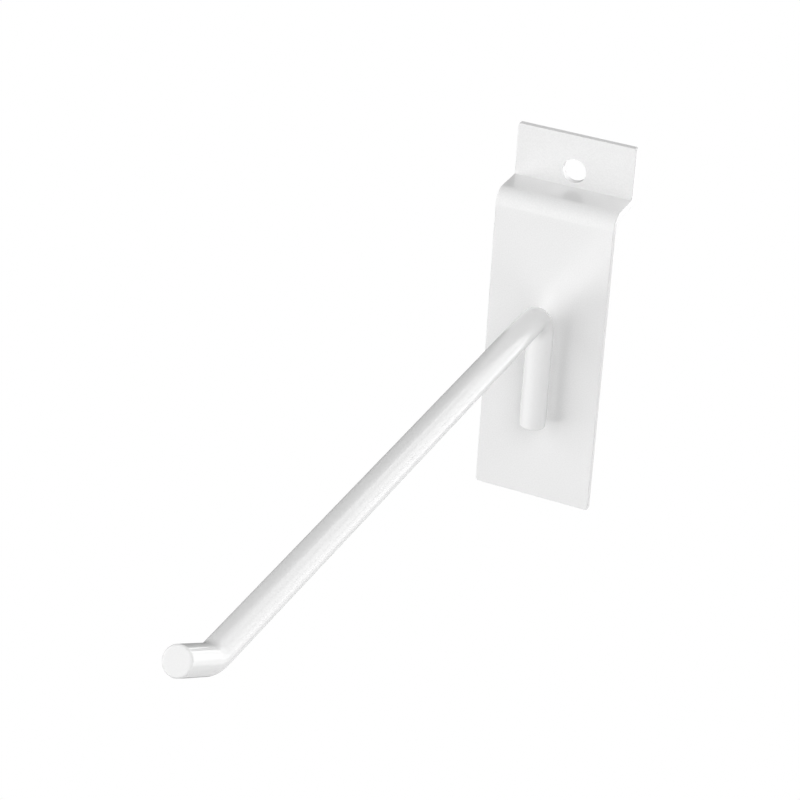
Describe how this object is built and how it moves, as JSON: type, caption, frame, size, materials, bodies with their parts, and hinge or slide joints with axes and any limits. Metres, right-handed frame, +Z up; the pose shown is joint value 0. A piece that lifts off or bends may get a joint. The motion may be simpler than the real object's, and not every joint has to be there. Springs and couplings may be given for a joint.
{
  "type": "slatwall hook",
  "caption": "Slatwall hook: a folded sheet back plate with a holed upper flange and a straight round wire prong whose tip turns up.",
  "frame": {"origin": "on the back face of the lower plate, at mid width, level with the centreline of the prong's arm", "axes": "+X across the plate, +Y back to the wall panel, +Z up; the arm runs along -Y"},
  "size_m": [0.028, 0.182, 0.0866],
  "materials": {
    "plate_coat": "fine satin white powder coat",
    "wire_coat": "semi-gloss white powder coat"
  },
  "bodies": {
    "root": {"back_plate": "plate_coat", "prong": "wire_coat"}
  },
  "joints": []
}
